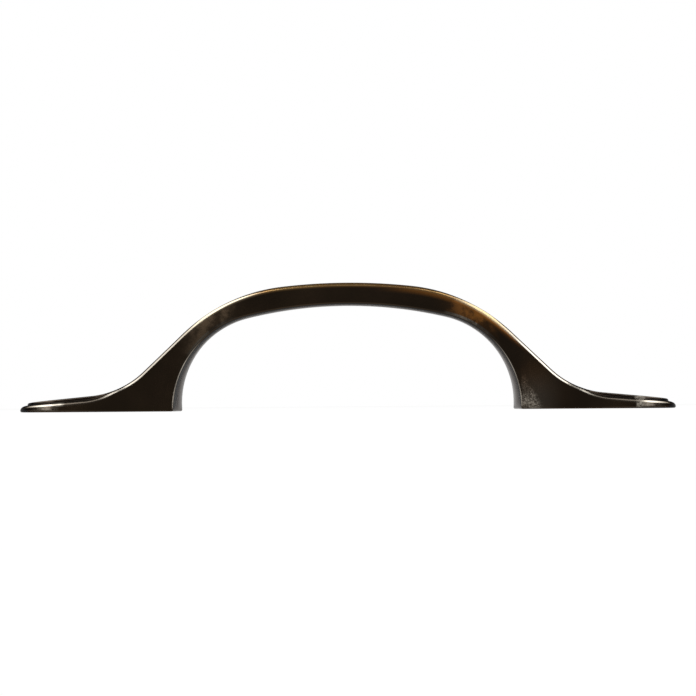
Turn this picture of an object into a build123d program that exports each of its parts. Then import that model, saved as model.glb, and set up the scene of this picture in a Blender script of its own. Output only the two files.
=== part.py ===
from build123d import *
import os
from math import acos, degrees, radians, tan

# Bow handle: one zinc die casting, symmetric about its middle in X and in Y.
# X runs along the handle, Z away from the door, and the origin is the centre
# of the back plane that lies on the door. Sizes are in millimetres, slopes in degrees.

# Fixing holes, drawn at the core size of an M4 thread
hole_spacing = 96.0
hole_radius = 1.65
hole_depth = 8.5
hole_chamfer = 0.35

# Crown line of the bow, seen from the side: slopes are downwards from the middle
bow_height = 31.4
bow_radius = 143.0
bow_slope = 6.4
shoulder_radius = 42.0
flank_slope = 45.0
flank_length = 12.6
heel_radius = 19.6
tongue_slope = 5.5

# Underside of the bow and the inner faces of the legs
under_height = 26.2
under_radius = 106.0
under_slope = 13.5
leg_radius = 22.6

# Rim of the foot: its ledge leaves the crown line where the heel has this slope
ledge_leave_slope = 26.0
ledge_radius = 42.0
ledge_slope = 3.0

# Outline of a foot on the door
half_length = 81.1
leg_half_width = 9.0
foot_half_width = 10.5
leg_straight_end = 45.0
foot_flare_radius = 60.0

# Raised tongue on the foot, set back from the rim
tongue_inset = 1.4
tongue_straight_start = 66.0
tongue_flare_radius = 100.0
tongue_flare_turn = 8.0

# Side faces lean in as they rise, then turn upright along the bow
side_lean = 15.0
bow_half_width = 4.0
lean_blend_radius = 30.0

# Softened edges: a rounding along the top, small bevels elsewhere
top_arris_radius = 0.6
tongue_arris_bevel = 0.3
inner_arris_bevel = 0.3
back_arris_bevel = 0.35


def slope_arc(line, radius, turn):
    """Arc that carries on from the end of a line, bending left for a positive turn."""
    return JernArc(line @ 1, line % 1, radius, turn)


def straight_to(line, x_end):
    """Straight run that carries on from the end of a line as far as a given X."""
    start, direction = line @ 1, line % 1
    return Line(start, start + direction * ((x_end - start.X) / direction.X))


def plan_face(lines):
    """Upward facing face from half a plan outline and its mirror image across the X axis."""
    half = Curve() + lines
    face = make_face(half + mirror(half, about=Plane.XZ)).face()
    return Face(face.outer_wire())


def side_block(outline):
    """Block across the whole width of the handle from a closed side outline."""
    return extrude(make_face(Plane.XZ * outline), amount=foot_half_width, both=True)


def faces_upward(face):
    """True for the faces that show from above, which slope less than the side faces."""
    return face.normal_at().Z > 0.6


def faces_finger_gap(face):
    """True for the underside of the bow and the inner faces of the legs."""
    normal = face.normal_at()
    across = abs(normal.Y) > 0.01
    return not across and normal.Z < 0.01 and face.center().Z > 0.1


def side_edges(solid, choose_face):
    """Edges along both sides of the chosen faces, without those that cross the handle."""
    return solid.faces().filter_by(choose_face).edges().filter_by(Axis.Y, reverse=True)


# Side outline of the casting, from the middle over the shoulder to the rim of the foot
bow_top = JernArc((0, bow_height), (1, 0), bow_radius, -bow_slope)
shoulder = slope_arc(bow_top, shoulder_radius, bow_slope - flank_slope)
flank = PolarLine(shoulder @ 1, flank_length, direction=shoulder % 1)
heel = slope_arc(flank, heel_radius, flank_slope - ledge_leave_slope)
ledge_curve = slope_arc(heel, ledge_radius, ledge_leave_slope - ledge_slope)
ledge = straight_to(ledge_curve, half_length + 1)
bow_under = JernArc((0, under_height), (1, 0), under_radius, -under_slope)
leg_curve = slope_arc(bow_under, leg_radius, under_slope - 90)
rim_corner = (half_length + 1, 0)
leg_corner = ((leg_curve @ 1).X, 0)
half_side = Curve() + [
    bow_top,
    shoulder,
    flank,
    heel,
    ledge_curve,
    ledge,
    Line(ledge @ 1, rim_corner),
    Line(rim_corner, leg_corner),
    Line(leg_corner, leg_curve @ 1),
    leg_curve,
    bow_under,
]
casting_side = side_block(half_side + mirror(half_side, about=Plane.YZ))

# Outline of the feet on the door: straight legs, a gentle flare and a round end
flare_turn = degrees(acos(1 - (foot_half_width - leg_half_width) / (2 * foot_flare_radius)))
leg_edge = Line((0, leg_half_width), (leg_straight_end, leg_half_width))
flare_out = slope_arc(leg_edge, foot_flare_radius, flare_turn)
flare_in = slope_arc(flare_out, foot_flare_radius, -flare_turn)
foot_edge = straight_to(flare_in, half_length - foot_half_width)
foot_end = slope_arc(foot_edge, foot_half_width, -90)
half_foot = Curve() + [leg_edge, flare_out, flare_in, foot_edge, foot_end]
foot_outline = plan_face([half_foot, mirror(half_foot, about=Plane.YZ)])

# Side walls: the outline of the feet drawn up with a lean, then the end view of the bow
lean_height = (leg_half_width - bow_half_width) / tan(radians(side_lean))
blend_start = lean_height - lean_blend_radius * tan(radians(side_lean / 2))
low_walls = extrude(foot_outline, amount=blend_start, taper=side_lean)
above_bow = bow_height + 1
blend_half_width = leg_half_width - blend_start * tan(radians(side_lean))
wall_blend = FilletPolyline(
    (blend_half_width, blend_start),
    (bow_half_width, lean_height),
    (bow_half_width, above_bow),
    radius=lean_blend_radius,
)
half_end_view = Curve() + [
    Line((0, blend_start), wall_blend @ 0),
    wall_blend,
    Line(wall_blend @ 1, (0, above_bow)),
]
end_view = half_end_view + mirror(half_end_view, about=Plane.YZ)
high_walls = extrude(make_face(Plane.YZ * end_view), amount=leg_straight_end, both=True)

casting = casting_side & (low_walls + high_walls)
casting = fillet(side_edges(casting, faces_upward), top_arris_radius)
casting = chamfer(side_edges(casting, faces_finger_gap), inner_arris_bevel)

# Raised tongue: the crown line runs on over the heel and falls gently to a round end
tongue_heel = slope_arc(heel, heel_radius, ledge_leave_slope - tongue_slope)
tongue_run = straight_to(tongue_heel, half_length)
end_corner = (half_length, 0)
root_corner = ((heel @ 1).X, 0)
tongue_side = side_block(
    Curve()
    + [
        tongue_heel,
        tongue_run,
        Line(tongue_run @ 1, end_corner),
        Line(end_corner, root_corner),
        Line(root_corner, tongue_heel @ 0),
    ]
)
tongue_half_width = foot_half_width - tongue_inset
tongue_edge = Line(
    (tongue_straight_start, tongue_half_width),
    (half_length - foot_half_width, tongue_half_width),
)
tongue_end = slope_arc(tongue_edge, tongue_half_width, -90)
tongue_flare = JernArc(tongue_edge @ 0, (-1, 0), tongue_flare_radius, -tongue_flare_turn)
tongue_root = Line(tongue_flare @ 1, ((tongue_flare @ 1).X, 0))
tongue_outline = plan_face([tongue_root, tongue_flare, tongue_edge, tongue_end])
tongue = tongue_side & extrude(tongue_outline, amount=lean_height, taper=side_lean)
tongue = chamfer(side_edges(tongue, faces_upward), tongue_arris_bevel)
casting += [tongue, mirror(tongue, about=Plane.YZ)]

# Back of the feet: bevelled outer edge and a blind hole in each leg
back_faces = casting.faces().filter_by(lambda face: abs(face.center().Z) < 0.001)
casting = chamfer(back_faces.edges(), back_arris_bevel)
on_back = (Align.CENTER, Align.CENTER, Align.MIN)
hole = Cylinder(hole_radius, hole_depth, align=on_back)
hole += Cone(hole_radius + hole_chamfer, hole_radius, hole_chamfer, align=on_back)
casting -= [Pos(side * hole_spacing / 2, 0, 0) * hole for side in (-1, 1)]

os.makedirs("parts", exist_ok=True)
export_step(casting.solid(), "parts/bow_handle.step")
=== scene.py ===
from math import pi, tan, radians

import bmesh
import bpy
import numpy as np
from mathutils import Matrix, Vector


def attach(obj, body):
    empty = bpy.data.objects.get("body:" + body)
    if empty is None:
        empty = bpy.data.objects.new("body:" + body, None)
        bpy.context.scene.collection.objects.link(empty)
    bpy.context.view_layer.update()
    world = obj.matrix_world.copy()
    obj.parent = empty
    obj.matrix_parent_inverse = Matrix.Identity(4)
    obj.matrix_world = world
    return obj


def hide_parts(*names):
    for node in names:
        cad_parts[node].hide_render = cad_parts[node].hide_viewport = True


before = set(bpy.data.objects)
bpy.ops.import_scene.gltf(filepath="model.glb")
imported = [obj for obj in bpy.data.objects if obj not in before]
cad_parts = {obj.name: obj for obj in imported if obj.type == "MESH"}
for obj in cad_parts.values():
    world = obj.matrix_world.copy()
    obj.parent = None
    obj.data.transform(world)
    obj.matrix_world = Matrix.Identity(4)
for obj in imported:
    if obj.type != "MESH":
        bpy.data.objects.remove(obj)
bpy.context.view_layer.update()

# Bow handle: one casting of zinc alloy. The bow, its two legs and the spoon-shaped feet with their
# raised tongues came out of one die, so they are one closed surface. Lengths are in millimetres
# and slopes in degrees until the mesh is made.
MILLIMETRE = 0.001

# Crown line, seen from the side: from the middle of the bow down to the end of the foot
bow_height = 31.4
bow_radius, bow_slope = 143.0, 6.4
shoulder_radius, flank_slope = 42.0, 45.0
flank_length = 12.6
heel_radius, tongue_slope = 19.6, 5.5

# Ledge round the tongue: it leaves the crown line at the heel and bends down a little at the tip
ledge_leave_slope, ledge_leave_length = 26.0, 3.2
ledge_radius, ledge_slope = 16.0, 4.5
ledge_length, tip_radius, tip_slope = 14.6, 8.0, 18.0
beyond_tip = 40.0

# Underside of the bow and the inner face of the leg
under_height = 26.2
under_radius, under_slope = 106.0, 13.5
leg_radius = 22.6

# Outline of the foot on the door, and the tongue set back from it
half_length = 81.1
leg_half_width, foot_half_width = 9.0, 10.5
leg_straight_end = 45.0
foot_flare_radius = 60.0
tongue_half_width = foot_half_width - 1.4
tongue_straight_start = 66.0
tongue_flare_radius, tongue_flare_length = 100.0, 20.0
ledge_least_width = 0.9
least_tongue_height = 0.005

# Side faces: they lean in as they rise, then turn upright along the bow
lean_angle = 15.0
side_lean = tan(radians(lean_angle))
bow_half_width = 4.0
lean_blend_radius = 30.0

# Rounded edges, and the slight crown that polishing gives the inner faces
back_arris_radius = 0.45
inner_arris_radius = 0.3
inner_crown, crown_fade_height = 0.26, 1.5
top_arris_radius = 0.95
ledge_root_radius = 0.2
tongue_arris_radius = 0.4

# Screw hole in the back of each leg
hole_x = 48.0
hole_mouth_radius = 2.0


def tangent_chain(height, steps, arc_points=400, straight_points=100):
    """Outline that starts level above the middle and turns downwards step by step. An arc of radius R
    from slope a to slope b moves by R(sin b - sin a) and drops by R(cos a - cos b), with a negative R
    where it bends upwards; a straight of length L moves by L cos a and drops by L sin a."""
    x, z, slope = [np.zeros(1)], [np.full(1, height)], 0.0
    for kind, size, end_slope in steps:
        if kind == "arc":
            angle = np.radians(np.linspace(slope, end_slope, arc_points))[1:]
            start = np.radians(slope)
            x.append(x[-1][-1] + size * (np.sin(angle) - np.sin(start)))
            z.append(z[-1][-1] + size * (np.cos(angle) - np.cos(start)))
            slope = end_slope
        else:
            run = np.linspace(0.0, size, straight_points)[1:]
            x.append(x[-1][-1] + run * np.cos(np.radians(slope)))
            z.append(z[-1][-1] - run * np.sin(np.radians(slope)))
    x, z = np.concatenate(x), np.concatenate(z)
    along = np.concatenate([np.zeros(1), np.cumsum(np.hypot(np.diff(x), np.diff(z)))])
    return x, z, along


# The crown line and the ledge run on past the tip, where the outline of the foot cuts them off
bow_and_flank = [
    ("arc", bow_radius, bow_slope),
    ("arc", shoulder_radius, flank_slope),
    ("straight", flank_length, None),
]
onto_tongue = [("arc", -heel_radius, tongue_slope), ("straight", beyond_tip, None)]
onto_ledge = [
    ("arc", -heel_radius, ledge_leave_slope),
    ("straight", ledge_leave_length, None),
    ("arc", -ledge_radius, ledge_slope),
    ("straight", ledge_length, None),
    ("arc", tip_radius, tip_slope),
    ("straight", beyond_tip, None),
]
crown = tangent_chain(bow_height, bow_and_flank + onto_tongue)
ledge = tangent_chain(bow_height, bow_and_flank + onto_ledge)
leg_side = [("arc", under_radius, under_slope), ("arc", leg_radius, 90.0)]
leg_foot = tangent_chain(under_height, leg_side)[1][-1]
leg_base = [("straight", leg_foot - back_arris_radius, None), ("arc", -back_arris_radius, 0.0)]
under = tangent_chain(under_height, leg_side + leg_base)


def crown_height(x):
    """Height of the crown line over a given X."""
    return np.interp(x, crown[0], crown[1])


def ledge_height(x):
    """Height of the ledge over a given X. As far as the heel it is the crown line itself."""
    return np.interp(x, ledge[0], ledge[1])


def wall_reach(x, z):
    """Half the width between the side faces: the foot's outline, drawn in by the lean times the height,
    and above the legs a blend arc into the upright sides of the bow. An outline arc that is drawn in
    keeps its centre, and its radius grows or shrinks by the same amount."""
    lean_height = (leg_half_width - bow_half_width) / side_lean
    half_blend = lean_blend_radius * tan(radians(lean_angle / 2))
    inset = np.minimum(z, lean_height) * side_lean
    turn = np.arccos(1 - (foot_half_width - leg_half_width) / (2 * foot_flare_radius))
    flare_end = leg_straight_end + 2 * foot_flare_radius * np.sin(turn)
    out_radius, in_radius = foot_flare_radius + inset, foot_flare_radius - inset
    past_start = np.clip(x - leg_straight_end, 0, out_radius * np.sin(turn))
    before_end = np.clip(flare_end - x, 0, in_radius * np.sin(turn))
    flare_out = leg_half_width + foot_flare_radius - np.sqrt(out_radius**2 - past_start**2)
    flare_in = foot_half_width - foot_flare_radius + np.sqrt(in_radius**2 - before_end**2)
    leaning = np.where(x < leg_straight_end + out_radius * np.sin(turn), flare_out, flare_in)
    to_upright = np.clip(lean_height + half_blend - z, 0, lean_blend_radius)
    blending = bow_half_width + lean_blend_radius - np.sqrt(lean_blend_radius**2 - to_upright**2)
    return np.where(z < lean_height - half_blend, leaning, blending)


def tongue_reach(x, z):
    """Half the width of the tongue: straight sides with the same lean, flared out towards the heel by an
    arc, and never nearer to the side face than the least width of the ledge."""
    drawn_radius = tongue_flare_radius + z * side_lean
    flare = np.clip(tongue_straight_start - x, 0, tongue_flare_length)
    reach = tongue_half_width + tongue_flare_radius - np.sqrt(drawn_radius**2 - flare**2)
    return np.minimum(reach, wall_reach(x, z) - ledge_least_width)


# Stations along the quarter of the casting with X and -Y: each is a slanting line in the side view from
# the inner outline to the crown line. On the arch both lines are cut at the middle, at the shoulder,
# above the rounding at the base and at the base.
shoulder_under_x, base_rounding = 24.7, 1.2
shoulder_crown_x, rounding_crown_x, leg_crown_x = 27.5, 51.5, 52.0
bow_stations, leg_stations, rounding_stations = 44, 50, 10
under_end = under[2][-1]
shoulder_under = np.interp(shoulder_under_x, under[0], under[2])
under_knots = [0.0, shoulder_under, under_end - base_rounding, under_end]
crown_knots = np.interp([0.0, shoulder_crown_x, rounding_crown_x, leg_crown_x], crown[0], crown[2])
knot = np.concatenate([
    np.linspace(0, 1, bow_stations)[:-1],
    np.linspace(1, 2, leg_stations)[:-1],
    np.linspace(2, 3, rounding_stations),
])
under_along, crown_along = np.interp(knot, range(4), under_knots), np.interp(knot, range(4), crown_knots)
arch_x, arch_z = np.interp(under_along, under[2], under[0]), np.interp(under_along, under[2], under[1])
crown_x, crown_z = np.interp(crown_along, crown[2], crown[0]), np.interp(crown_along, crown[2], crown[1])

# Along the back there is one station for each step around the screw hole, and the last stations fan out
# around the centre of the foot's round end
fan_centre = half_length - foot_half_width
hole_steps, hole_margin, fan_stations = 32, 2.8, 30
stations_before_hole, stations_past_hole = 3, 43
hole_angle = np.linspace(0.0, pi, hole_steps + 1)
base_x = np.concatenate([
    np.linspace(arch_x[-1], hole_x - hole_margin, stations_before_hole + 2)[1:-1],
    np.linspace(hole_x - hole_margin, hole_x + hole_margin, hole_steps + 1),
    np.linspace(hole_x + hole_margin, fan_centre, stations_past_hole + 1)[1:],
])
base_crown_x = np.interp(base_x, [arch_x[-1], fan_centre], [crown_x[-1], fan_centre])
fan_foot = np.full(fan_stations - 1, fan_centre)

inner_x = np.concatenate([arch_x, base_x, fan_foot])
inner_z = np.concatenate([arch_z, np.zeros(len(base_x) + len(fan_foot))])
outer_x = np.concatenate([crown_x, base_crown_x, fan_foot])
outer_z = np.concatenate([crown_z, crown_height(base_crown_x), crown_height(fan_foot)])
fan_turn = np.concatenate([np.zeros(len(arch_x) + len(base_x)), np.linspace(0, pi / 2, fan_stations)[1:]])
outward_x, outward_y = np.sin(fan_turn), -np.cos(fan_turn)


def at(rise, reach):
    """Point of each station that lies a share of the way up its line and a distance out from the middle."""
    x = inner_x + rise * (outer_x - inner_x) + reach * outward_x
    z = inner_z + rise * (outer_z - inner_z)
    return np.stack([x, reach * outward_y, z], -1)


def wall_at(rise):
    """Point of each station on its side face."""
    x = inner_x + rise * (outer_x - inner_x)
    z = inner_z + rise * (outer_z - inner_z)
    return at(rise, wall_reach(x, z))


def corner_on(height, reach, rounds=30):
    """Share of the way up each station's line at which a side of the given reach meets a top surface,
    and the corner there. It is found by taking the surface's height over the point last found, again
    and again."""
    rise = np.ones_like(inner_x)
    for _ in range(rounds):
        x = inner_x + rise * (outer_x - inner_x)
        z = inner_z + rise * (outer_z - inner_z)
        level = height(x + reach(x, z) * outward_x)
        rise = np.clip((level - inner_z) / (outer_z - inner_z), 0.0, 1.0)
    x = inner_x + rise * (outer_x - inner_x)
    z = inner_z + rise * (outer_z - inner_z)
    return rise, at(rise, reach(x, z))


def unit(vector):
    """Directions of length one, and zero where the vector has no length."""
    length = np.linalg.norm(vector, axis=-1, keepdims=True)
    return vector / np.maximum(length, 1e-9)


def rounded(before, corner, after, radius, steps, most_room=0.98):
    """Arc that replaces a corner. With tangents t = R tan(turn / 2) long it is the rational curve
    of the three points a, corner and b, whose middle weight is cos(turn / 2). The tangents take up
    no more than nearly the whole of the shorter side."""
    back, onward = unit(before - corner), unit(after - corner)
    turn = np.arccos(np.clip(-(back * onward).sum(-1, keepdims=True), -1, 1))
    room = np.minimum(np.linalg.norm(before - corner, axis=-1), np.linalg.norm(after - corner, axis=-1))
    radius = np.broadcast_to(radius, len(corner))[:, None]
    reach = np.minimum(radius * np.tan(turn / 2), most_room * room[:, None])
    first, last, weight = corner + reach * back, corner + reach * onward, np.cos(turn / 2)
    t = np.linspace(0, 1, steps)[None, :, None]
    weights = (1 - t) ** 2, 2 * weight[:, None] * t * (1 - t), t**2
    points = weights[0] * first[:, None] + weights[1] * corner[:, None] + weights[2] * last[:, None]
    return points / sum(weights)


def straight(first, last, shares):
    """Points on the straight from one corner to the next."""
    t = np.asarray(shares)[None, :, None]
    return first[:, None] + t * (last - first)[:, None]


foot_corner = wall_at(np.zeros_like(inner_x))
rim_rise, rim_corner = corner_on(ledge_height, wall_reach)
root_corner = corner_on(ledge_height, tongue_reach)[1]
tongue_corner = corner_on(crown_height, tongue_reach)[1]
flush = np.linalg.norm(tongue_corner - root_corner, axis=1) < least_tongue_height
tongue_corner[flush] = root_corner[flush]
crown_line = at(np.ones_like(inner_x), np.zeros_like(inner_x))

# The back starts at the middle line, or at the mouth of the screw hole
middle = at(np.zeros_like(inner_x), np.zeros_like(inner_x))
first_at_hole = len(arch_x) + stations_before_hole
at_hole = slice(first_at_hole, first_at_hole + hole_steps + 1)
middle[at_hole, 0] = hole_x - hole_mouth_radius * np.cos(hole_angle)
middle[at_hole, 1] = -hole_mouth_radius * np.sin(hole_angle)

# Each arc is drawn between its neighbours, and on the side face the neighbour is a short way along it
step_on_side = 1.2
side_length = np.linalg.norm(rim_corner - foot_corner, axis=1)
side_step = np.minimum(step_on_side / side_length, 0.5)
on_arch = np.arange(len(inner_x)) < len(arch_x)
foot_radius = np.where(on_arch, inner_arris_radius, back_arris_radius)
side_above_foot, side_below_rim = wall_at(rim_rise * side_step), wall_at(rim_rise * (1 - side_step))
foot_arc = rounded(middle, foot_corner, side_above_foot, foot_radius, steps=7)
top_arc = rounded(side_below_rim, rim_corner, root_corner, top_arris_radius, steps=13)
root_arc = rounded(rim_corner, root_corner, tongue_corner, ledge_root_radius, steps=5)
tongue_arc = rounded(root_corner, tongue_corner, crown_line, tongue_arris_radius, steps=9)

# Shares of each face at which it gets a row of points, closer together next to the rounded edges
back_shares = [0.0, 0.15, 0.3, 0.45, 0.6, 0.74, 0.86, 0.96]
side_shares = [0.03, 0.09, 0.18, 0.28, 0.39, 0.5, 0.61, 0.72, 0.82, 0.91, 0.97]
ledge_shares = [0.02, 0.15, 0.5, 0.85, 0.98]
tongue_side_shares = [0.1, 0.5, 0.9]
crown_shares = [0.03, 0.12, 0.3, 0.5, 0.75, 1.0]

# Inner faces of the arch: they swell by the crown times one minus the square of the share of the half
# width, at right angles to the outline, and run out flat towards the door
back_face = straight(middle, foot_arc[:, 0], back_shares)
swell = inner_crown * np.clip(inner_z / crown_fade_height, 0, 1)[:, None] * on_arch[:, None]
swell = swell * (1 - (back_face[:, :, 1] / foot_corner[:, None, 1]) ** 2)
slope_x, slope_z = np.gradient(inner_x), np.gradient(inner_z)
slope_z[0] = 0.0
slope_length = np.maximum(np.hypot(slope_x, slope_z), 1e-9)
back_face[:, :, 0] += swell * (slope_z / slope_length)[:, None]
back_face[:, :, 2] -= swell * (slope_x / slope_length)[:, None]

side_start = np.linalg.norm(foot_arc[:, -1] - foot_corner, axis=1) / side_length * rim_rise
side_end = (1 - np.linalg.norm(top_arc[:, 0] - rim_corner, axis=1) / side_length) * rim_rise
side_face = np.stack([wall_at(side_start + share * (side_end - side_start)) for share in side_shares], 1)

sections = [
    back_face,
    foot_arc,
    side_face,
    top_arc,
    straight(top_arc[:, -1], root_arc[:, 0], ledge_shares),
    root_arc,
    straight(root_arc[:, -1], tongue_arc[:, 0], tongue_side_shares),
    tongue_arc,
    straight(tongue_arc[:, -1], crown_line, crown_shares),
]
quarter = np.concatenate(sections, axis=1)

# Distance of every point from each of the three rounded edges, in millimetres along its section,
# positive where the point is further from the back. The finish wears by these distances.
edge_sections = {"past_foot_edge": 1, "past_top_edge": 3, "past_tongue_edge": 7}
step = np.linalg.norm(np.diff(quarter, axis=1), axis=2)
run = np.concatenate([np.zeros((len(quarter), 1)), np.cumsum(step, axis=1)], axis=1)
row_start = np.cumsum([0] + [section.shape[1] for section in sections])
past_edge = {
    edge: run - run[:, [row_start[number] + sections[number].shape[1] // 2]]
    for edge, number in edge_sections.items()
}


def grid_faces(rows, columns, first, flipped):
    """Four-sided faces between neighbouring points of a grid whose first point has the given number."""
    number = first + np.arange(rows * columns).reshape(rows, columns)
    a, b, c, d = number[:-1, :-1], number[1:, :-1], number[1:, 1:], number[:-1, 1:]
    order = (a, d, c, b) if flipped else (a, b, c, d)
    return np.stack([part.ravel() for part in order], 1)


def closed_mesh(name, points, faces, values, merge_distance=0.00002):
    """Mesh from points in millimetres, with named values on its points: doubles merged, normals turned
    outwards, shaded smooth."""
    mesh = bpy.data.meshes.new(name)
    mesh.from_pydata((points * MILLIMETRE).tolist(), [], faces.tolist())
    for key, value in values.items():
        mesh.attributes.new(key, "FLOAT", "POINT").data.foreach_set("value", value.astype(np.float32))
    shape = bmesh.new()
    shape.from_mesh(mesh)
    bmesh.ops.remove_doubles(shape, verts=shape.verts, dist=merge_distance * MILLIMETRE)
    bmesh.ops.recalc_face_normals(shape, faces=shape.faces)
    shape.to_mesh(mesh)
    shape.free()
    mesh.shade_smooth()
    return mesh


points, faces, edge_values = [], [], {edge: [] for edge in past_edge}
for side_x in (1, -1):
    for side_y in (1, -1):
        first = sum(len(part) for part in points)
        points.append(quarter.reshape(-1, 3) * np.array([side_x, side_y, 1]))
        faces.append(grid_faces(*quarter.shape[:2], first, side_x * side_y < 0))
        for edge, distance in past_edge.items():
            edge_values[edge].append(distance.ravel())

# Screw hole: a blind hole with an M4 thread, cut after casting
thread_pitch, thread_runout = 0.7, 0.7
thread_core_radius, thread_root_radius = 1.65, 1.95
points_per_pitch, tooth_stretch = 12, 1.25
hole_depth = 8.5
mouth_bevel = 0.35
far_from_edges = -20.0


def threaded_hole(centre_x):
    """Wall of a hole as a grid of angle and depth: the radius goes from core to root and back once a
    pitch, with the wave shifted by the angle, and it fades out at both ends. The wave is stretched and
    cut off, so that crest and root are a little flat."""
    angle = np.concatenate([pi - hole_angle, -hole_angle[1:]])
    threaded = np.arange(mouth_bevel, hole_depth, thread_pitch / points_per_pitch)
    depth = np.concatenate([[0.0], threaded, [hole_depth, hole_depth]])
    wave = np.abs(((depth[None, :] / thread_pitch - angle[:, None] / (2 * pi)) % 1.0) * 2 - 1)
    tooth = np.clip(tooth_stretch * wave - (tooth_stretch - 1) / 2, 0, 1)
    fade_in = np.clip((depth - mouth_bevel) / thread_runout, 0, 1)
    fade_out = np.clip((hole_depth - depth) / thread_runout, 0, 1)
    thread_depth = (thread_root_radius - thread_core_radius) * fade_in * fade_out
    radius = thread_core_radius + tooth * thread_depth[None, :]
    radius[:, 0] = hole_mouth_radius
    radius[:, -1] = 0.0
    x = centre_x + radius * np.cos(angle)[:, None]
    y = radius * np.sin(angle)[:, None]
    return np.stack([x, y, np.broadcast_to(depth, radius.shape)], -1)


for centre_x in (-hole_x, hole_x):
    wall = threaded_hole(centre_x)
    first = sum(len(part) for part in points)
    points.append(wall.reshape(-1, 3))
    faces.append(grid_faces(*wall.shape[:2], first, False))
    for edge in past_edge:
        edge_values[edge].append(np.full(wall.shape[0] * wall.shape[1], far_from_edges))

casting_mesh = closed_mesh(
    "bow_handle_casting",
    np.concatenate(points),
    np.concatenate(faces),
    {edge: np.concatenate(distances) for edge, distances in edge_values.items()},
)
casting = bpy.data.objects.new("bow_handle_casting", casting_mesh)
bpy.context.scene.collection.objects.link(casting)


def linear(hex_colour):
    """Linear colour from an sRGB hex value."""
    value = np.array([int(hex_colour[i : i + 2], 16) for i in (1, 3, 5)]) / 255
    value = np.where(value <= 0.04045, value / 12.92, ((value + 0.055) / 1.055) ** 2.4)
    return (*value, 1.0)


def add(tree, kind, settings, *inputs, **named):
    """Adds a node, applies its settings, links or sets its inputs in their order or by name, and gives
    its first output. A maths node that is given more than two values becomes a row of such nodes."""
    while kind == "Math" and len(inputs) > 2:
        inputs = (add(tree, kind, settings, *inputs[:2]), *inputs[2:])
    node = tree.nodes.new("ShaderNode" + kind)
    for key, value in settings.items():
        setattr(node, key, value)
    filled = list(zip([socket for socket in node.inputs if socket.enabled], inputs))
    filled += [(node.inputs[key.replace("_", " ")], value) for key, value in named.items()]
    for socket, value in filled:
        if isinstance(value, bpy.types.NodeSocket):
            tree.links.new(value, socket)
        else:
            socket.default_value = value
    return next((socket for socket in node.outputs if socket.enabled), None)


# Oil rubbed bronze: the casting is plated, turned nearly black brown in a bath and relieved by hand,
# so copper gold shows through on the edges that a hand or a buffing wheel meets. A thin clear
# lacquer gives the soft gloss over it. Several of the lines, patches and specks below are also painted
# highlights, and the low side of the tongue has painted shade.
bronze = bpy.data.materials.new("oil_rubbed_bronze_plating")
bronze.use_nodes = True
tree = bronze.node_tree
tree.nodes.clear()
soft, colours = {"interpolation_type": "SMOOTHSTEP"}, {"data_type": "RGBA"}
plus, minus = {"operation": "ADD"}, {"operation": "SUBTRACT"}
times, most = {"operation": "MULTIPLY"}, {"operation": "MAXIMUM"}

# Places on the handle, in millimetres: along it, above the door, and past each of the rounded edges.
# A soft range below takes such a place, two limits, and the shares at and beyond them, 0 and 1 if none
# are given.
place = add(tree, "TexCoord", {}).node.outputs["Object"]
axes = add(tree, "SeparateXYZ", {}, place).node.outputs
along = add(tree, "Math", times, axes["X"], 1 / MILLIMETRE)
above_door = add(tree, "Math", times, axes["Z"], 1 / MILLIMETRE)
from_middle = add(tree, "Math", {"operation": "ABSOLUTE"}, along)
past_foot, past_top, past_tongue = [
    add(tree, "Attribute", {"attribute_name": edge}).node.outputs["Fac"] for edge in past_edge
]

# Grain of the finish: the size of the blotches in millimetres, the octaves, and how strong the finer
# ones are. A blotch takes up about 0.6 of a cell of the noise.
blotch_share = 0.6
grain = {}
for name, size, octaves, strength in (
    ("bath clouds", 9.0, 3.0, 0.5),
    ("gloss clouds", 6.0, 3.0, 0.5),
    ("copper clouds", 5.0, 3.0, 0.5),
    ("breaks in the line", 3.0, 2.0, 0.5),
    ("mottle", 2.2, 4.0, 0.6),
    ("groups of specks", 1.6, 2.0, 0.5),
    ("fine gloss", 0.35, 3.0, 0.5),
    ("skin", 0.3, 3.0, 0.5),
    ("specks", 0.28, 3.0, 0.6),
):
    cells = blotch_share / (size * MILLIMETRE)
    grain[name] = add(tree, "TexNoise", {}, Vector=place, Scale=cells, Detail=octaves, Roughness=strength)

# Zones of wear and of painted highlights: what they are measured by, and where they begin, are full,
# start to fade and end. The strip of painted glints by the inner edge of the right leg gets wider
# towards the door.
strip_end = add(tree, "MapRange", soft, above_door, 0.0, 8.0, 48.4, 45.5)
strip_fade = add(tree, "Math", minus, strip_end, 3.0)
zone = {}
for name, measure, start, full, fade, end in (
    ("bow between shoulders", along, -26.0, -19.0, 24.0, 32.0),
    ("left shoulder", along, -42.0, -36.0, -31.0, -25.0),
    ("right shoulder", along, 23.0, 35.0, 37.0, 45.0),
    ("right hold", along, 21.0, 31.0, 33.0, 38.0),
    ("dull left flank", along, -54.0, -49.0, -40.0, -34.0),
    ("dull right shoulder", along, 16.0, 21.0, 26.0, 30.0),
    ("strip by inner edge", along, 42.0, 42.7, strip_fade, strip_end),
    ("haze on right leg", along, 41.5, 45.0, 46.0, 53.0),
    ("speckled right foot", along, 69.2, 69.8, 70.6, 72.4),
    ("sides of the feet", from_middle, 55.0, 62.0, 70.0, 72.0),
    ("round ends", from_middle, 69.2, 70.2, 72.0, 79.0),
    ("foot edge", past_foot, -0.22, -0.02, 0.02, 0.25),
    ("tongue edge", past_tongue, -0.3, -0.1, 0.0, 0.2),
):
    rising = add(tree, "MapRange", soft, measure, start, full)
    falling = add(tree, "MapRange", soft, measure, fade, end, 1.0, 0.0)
    zone[name] = add(tree, "Math", times, rising, falling)
on_bow = add(tree, "MapRange", soft, from_middle, 35.0, 43.0, 1.0, 0.0)
on_side = add(tree, "MapRange", soft, past_foot, 0.0, 0.4)
below_edge = add(tree, "Math", times, add(tree, "MapRange", soft, past_top, -0.2, 0.1, 1.0, 0.0), on_side)
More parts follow.
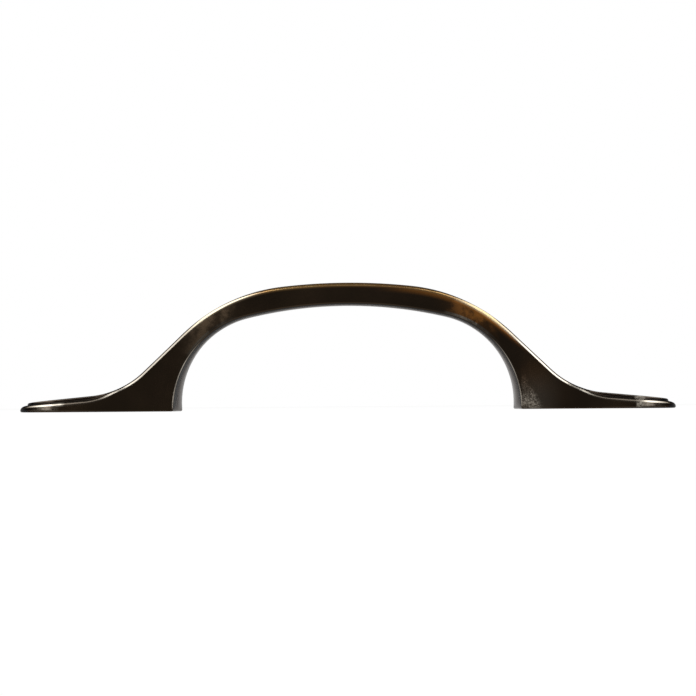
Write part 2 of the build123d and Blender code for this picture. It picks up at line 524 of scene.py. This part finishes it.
low_down = add(tree, "MapRange", soft, above_door, 2.0, 12.0, 1.0, 0.0)

# Line of bare metal and painted highlight on the top rounding: on the bow it covers the whole rounding,
# on the flanks the lower half, and on the straight sides of the feet it is wider again, as a broad
# painted sheen
line_edge = 0.07
feet = zone["sides of the feet"]
line_start = add(tree, "MapRange", {}, feet, 0.0, 1.0, -0.75, -1.15)
line_full = add(tree, "MapRange", {}, feet, 0.0, 1.0, -0.55, -0.4)
line_end = add(tree, "MapRange", soft, from_middle, 31.0, 40.0, 0.6, -0.15)
line_end = add(tree, "Math", plus, line_end, add(tree, "Math", times, feet, 0.45))
line_fade = add(tree, "Math", minus, line_end, line_edge)
line_end = add(tree, "Math", plus, line_end, line_edge)

# Its strength is painted highlight: bright over the bow and flanks, faint along the feet, and bright once
# more at their round ends, where the lamps reflect
left_end = add(tree, "MapRange", soft, along, -69.5, -67.5, 0.85, 0.0)
right_end = add(tree, "MapRange", soft, along, 69.0, 73.0, 0.0, 0.85)
round_the_tip = add(tree, "MapRange", soft, from_middle, 73.0, 78.0, 1.0, 0.25)
painted_highlight_at_round_ends = add(tree, "Math", times, add(tree, "Math", most, left_end, right_end), round_the_tip)
to_the_feet = add(tree, "MapRange", soft, from_middle, 55.5, 60.5, 0.9, 0.11)
line = add(
    tree, "Math", times,
    add(tree, "MapRange", soft, past_top, line_start, line_full),
    add(tree, "MapRange", soft, past_top, line_fade, line_end, 1.0, 0.0),
    add(tree, "Math", most, to_the_feet, painted_highlight_at_round_ends),
    add(tree, "MapRange", {}, zone["dull left flank"], 0.0, 1.0, 1.0, 0.5),
    add(tree, "MapRange", {}, zone["dull right shoulder"], 0.0, 1.0, 1.0, 0.6),
)

# On the bow the gold bleeds down the side face, further on its right half, where it also paints the broad
# highlight of that shoulder. Thin lines of bare metal and painted highlight show along the inner edges of
# the legs, and a thin line along the edge of the tongue.
bleed = add(tree, "MapRange", soft, past_top, -1.15, -0.42, 0.0, 0.42)
bleed = add(tree, "Math", times, bleed, below_edge, on_bow)
deep_bleed_and_highlight = add(tree, "MapRange", soft, past_top, -2.2, -0.7, 0.0, 0.55)
on_right_half = add(tree, "MapRange", soft, along, 6.0, 20.0)
deep_bleed_and_highlight = add(tree, "Math", times, deep_bleed_and_highlight, below_edge, on_bow, on_right_half)
inner_line = add(
    tree, "Math", times,
    zone["foot edge"],
    add(tree, "MapRange", soft, from_middle, 35.0, 41.0),
    add(tree, "MapRange", soft, above_door, 0.2, 1.2),
    add(tree, "MapRange", soft, grain["breaks in the line"], 0.3, 0.7, 0.4, 0.75),
)
tongue_line = add(tree, "Math", times, zone["tongue edge"], 0.12)

# Where hands hold it most, at the shoulders, the rub spreads over the side face in a mottled patch,
# more on one shoulder than on the other. These patches, and the rub near the top of the right shoulder,
# are partly painted highlight, brightest where the lamps reflect.
mottled = add(tree, "MapRange", soft, grain["mottle"], 0.38, 0.6, 0.25, 1.0)
down_the_side = add(tree, "MapRange", soft, past_top, -7.5, -0.9, 0.3, 1.0)
right_patch = add(tree, "Math", times, zone["right hold"], 0.42)
left_patch = add(tree, "Math", times, zone["left shoulder"], 0.2)
both_patches = add(tree, "Math", plus, right_patch, left_patch)
patch = add(tree, "Math", times, down_the_side, mottled, below_edge, both_patches)
near_the_top = add(tree, "MapRange", soft, past_top, -1.7, -0.5)
right_shoulder_rub_and_highlight = add(tree, "Math", times, near_the_top, below_edge, zone["right shoulder"], 0.9)

# Painted highlights: specks of pale metal in loose groups that stand in for the lamps' glints on the
# grainy surface, in the strip on the right leg, over a thin painted sheen, on the rounding at both
# round ends, and across the rim where the right foot's end begins
specks = add(tree, "MapRange", soft, grain["specks"], 0.3, 0.72, 0.25, 1.0)
groups = add(tree, "MapRange", soft, grain["groups of specks"], 0.35, 0.6, 0.5, 1.0)
speckle = add(tree, "Math", times, specks, groups)
painted_glints_by_inner_edge = add(tree, "Math", times, zone["strip by inner edge"], low_down, speckle, below_edge, 0.36)
painted_sheen = add(tree, "MapRange", soft, above_door, 6.0, 15.0, 0.06, 0.0)
painted_sheen = add(tree, "Math", times, zone["haze on right leg"], painted_sheen, below_edge)
below_rounding = add(tree, "MapRange", soft, past_top, -0.9, -0.6, 0.22, 0.0)
painted_glints_on_round_ends = add(tree, "Math", times, zone["round ends"], below_rounding, speckle, on_side)
off_the_tongue = add(tree, "MapRange", soft, past_tongue, 0.0, 0.3, 0.5, 0.0)
painted_glints_on_right_foot = add(tree, "Math", times, zone["speckled right foot"], speckle, on_side, off_the_tongue)

# Wear and painted highlights together: first the matt ones, then all of them
matt_wear_and_glints = add(tree, "Math", most, patch, right_shoulder_rub_and_highlight, painted_glints_by_inner_edge, painted_sheen, painted_glints_on_round_ends, painted_glints_on_right_foot)
bare_metal_and_highlights = add(tree, "Math", most, matt_wear_and_glints, bleed, deep_bleed_and_highlight, tongue_line, line, inner_line)

# The colour of the bare metal and of the painted highlights: copper gold on the bow, paler at the
# shoulders, more coppery below the rounding, and a pale yellow grey on the legs, the feet and the edges
# at the door
pale_gold = linear("#cbc3b5")
copper_clouds = add(tree, "MapRange", soft, grain["copper clouds"], 0.35, 0.65)
copper_gold = add(tree, "Mix", colours, copper_clouds, linear("#ad8350"), linear("#bc9862"))
shoulder_gold = add(tree, "Mix", colours, zone["right shoulder"], linear("#d0c3aa"), linear("#d8c093"))
gold = add(tree, "Mix", colours, zone["bow between shoulders"], shoulder_gold, copper_gold)
gold = add(tree, "Mix", colours, on_bow, pale_gold, gold)
coppery = add(
    tree, "Math", times,
    add(tree, "MapRange", soft, past_top, -1.1, -0.45, 1.0, 0.0),
    add(tree, "MapRange", soft, along, -20.0, 10.0, 0.45, 1.0),
    add(tree, "MapRange", soft, from_middle, 49.0, 52.0, 1.0, 0.0),
)
gold = add(tree, "Mix", colours, coppery, gold, linear("#ad6e2c"))
gold = add(tree, "Mix", colours, low_down, gold, pale_gold)
at_foot_edge = add(tree, "MapRange", soft, past_foot, 0.5, 0.9, 1.0, 0.0)
gold = add(tree, "Mix", colours, at_foot_edge, gold, pale_gold)

# The dark bath has slightly lighter clouds. The low side of the tongue is made darker still, as
# painted shade.
bath_clouds = add(tree, "MapRange", soft, grain["bath clouds"], 0.35, 0.7)
dark = add(tree, "Mix", colours, bath_clouds, linear("#271d12"), linear("#33271a"))
past_ledge = add(tree, "MapRange", soft, past_top, 1.0, 1.4)
below_tongue_edge = add(tree, "MapRange", soft, past_tongue, -0.4, -0.1, 1.0, 0.0)
painted_shade_on_tongue_side = add(tree, "Math", times, past_ledge, below_tongue_edge, 0.8)
dark = add(tree, "Mix", colours, painted_shade_on_tongue_side, dark, linear("#120c08"))
colour = add(tree, "Mix", colours, bare_metal_and_highlights, dark, gold)

# Gloss: a little uneven in large clouds and in fine grain, and matt where the rub is scratched and where
# glints are painted
gloss_clouds = add(tree, "MapRange", soft, grain["gloss clouds"], 0.3, 0.7, 0.14, 0.19)
fine_gloss = add(tree, "MapRange", soft, grain["fine gloss"], 0.3, 0.7, -0.02, 0.02)
scratched = add(tree, "MapRange", soft, matt_wear_and_glints, 0.0, 0.4, 0.0, 0.28)
rough = add(tree, "Math", plus, gloss_clouds, fine_gloss, scratched)
skin_depth = 0.01 * MILLIMETRE
skin = add(tree, "Bump", {}, Height=grain["skin"], Strength=0.08, Distance=skin_depth)
shader = add(
    tree, "BsdfPrincipled", {},
    Base_Color=colour,
    Metallic=1.0,
    Roughness=rough,
    Normal=skin,
    Specular_Tint=linear("#574b3f"),
    Coat_Weight=0.15,
    Coat_Roughness=0.1,
)
add(tree, "OutputMaterial", {}, Surface=shader)
casting_mesh.materials.append(bronze)

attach(casting, "root")
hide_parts("bow_handle")

# Studio floor: a large sheet of matt white paper. The camera and reflections see it as plain white
# through a glow that makes up most of it, and the rest of it keeps the handle's shadow.
floor_reach, glow_share = 6, 0.95
paper = bpy.data.materials.new("floor_paper")
paper.use_nodes = True
tree = paper.node_tree
tree.nodes.clear()
rays = add(tree, "LightPath", {}).node.outputs
seen = add(tree, "Math", most, rays["Is Camera Ray"], rays["Is Glossy Ray"], rays["Is Transmission Ray"])
lit = add(tree, "BsdfDiffuse", {}, Color=linear("#f4f3f1"))
glow = add(tree, "Emission", {}, Color=linear("#ffffff"), Strength=1.0)
sheet = add(tree, "MixShader", {}, add(tree, "Math", times, seen, glow_share), lit, glow)
add(tree, "OutputMaterial", {}, Surface=sheet)

floor_corners = [(x * floor_reach, y * floor_reach, 0) for x, y in ((-1, -1), (1, -1), (1, 1), (-1, 1))]
floor_mesh = bpy.data.meshes.new("floor")
floor_mesh.from_pydata(floor_corners, [], [(0, 1, 2, 3)])
floor_mesh.materials.append(paper)
floor = bpy.data.objects.new("floor", floor_mesh)
bpy.context.scene.collection.objects.link(floor)

# The room: a white backdrop low down behind the handle, a paler wall in front and a dim ceiling. The
# camera sees plain white wherever the floor ends. The limits are parts of a direction of length one.
front_wall, back_wall, ceiling = 0.35, 1.0, 0.18
world = bpy.data.worlds.new("studio")
world.use_nodes = True
tree = world.node_tree
tree.nodes.clear()
direction = add(tree, "TexCoord", {}).node.outputs["Generated"]
heading = add(tree, "SeparateXYZ", {}, direction).node.outputs
behind = add(tree, "MapRange", soft, heading["Y"], -0.3, 0.2)
in_front = add(tree, "Math", minus, 1.0, behind)
wall_behind = add(tree, "MapRange", soft, heading["Z"], 0.1, 0.3, back_wall, ceiling)
wall_in_front = add(tree, "MapRange", soft, heading["Z"], 0.6, 0.75, front_wall, ceiling)
half_behind = add(tree, "Math", times, behind, wall_behind)
half_in_front = add(tree, "Math", times, in_front, wall_in_front)
room = add(tree, "Math", plus, half_behind, half_in_front)
seen = add(tree, "LightPath", {}).node.outputs["Is Camera Ray"]
backdrop = add(
    tree, "Background", {}, Color=linear("#ffffff"), Strength=add(tree, "Math", most, room, seen)
)
add(tree, "OutputWorld", {}, Surface=backdrop)
bpy.context.scene.world = world

# A large soft box on either side, a little in front of the handle and well above it. The direction is
# that of the right one.
soft_box_direction = (0.664, -0.203, 0.719)
soft_box_distance, soft_box_height, soft_box_length, soft_box_power = 1.0, 0.73, 1.66, 10.2
for side in (-1, 1):
    lamp = bpy.data.lights.new("soft_box", "AREA")
    lamp.shape = "RECTANGLE"
    lamp.size, lamp.size_y = soft_box_length, soft_box_height
    lamp.energy = soft_box_power
    soft_box = bpy.data.objects.new("soft_box", lamp)
    position = Vector(soft_box_direction).normalized() * soft_box_distance
    position.x *= side
    facing = position.to_track_quat("Z", "Y").to_matrix().to_4x4()
    soft_box.matrix_world = Matrix.Translation(position) @ facing
    bpy.context.scene.collection.objects.link(soft_box)

# Camera: level with the back of the handle and 340 mm in front of it, tilted up a little and turned
# by under half a degree, as in the photograph
camera_distance, camera_sensor = 340.0, 36.0
camera_place = np.array([3.7, -camera_distance, 1.0])
camera_target = np.array([0.27, 0.0, 15.41])
camera_roll = -0.0072
millimetres_per_pixel = 0.248
picture_width = 696
forward = unit(camera_target - camera_place)
right = unit(np.cross(forward, [0, 0, 1]))
up = np.cross(right, forward)
rolled_right = np.cos(camera_roll) * right + np.sin(camera_roll) * up
rolled_up = np.cos(camera_roll) * up - np.sin(camera_roll) * right
camera_data = bpy.data.cameras.new("camera")
camera_data.sensor_width = camera_sensor
camera_data.lens = camera_sensor * camera_distance / (millimetres_per_pixel * picture_width)
camera_data.clip_start = MILLIMETRE
camera = bpy.data.objects.new("camera", camera_data)
turned = Matrix(np.column_stack([rolled_right, rolled_up, -forward]).tolist()).to_4x4()
camera.matrix_world = Matrix.Translation(Vector(camera_place * MILLIMETRE)) @ turned
bpy.context.scene.collection.objects.link(camera)
bpy.context.scene.camera = camera
bpy.context.scene.view_settings.view_transform = "Standard"
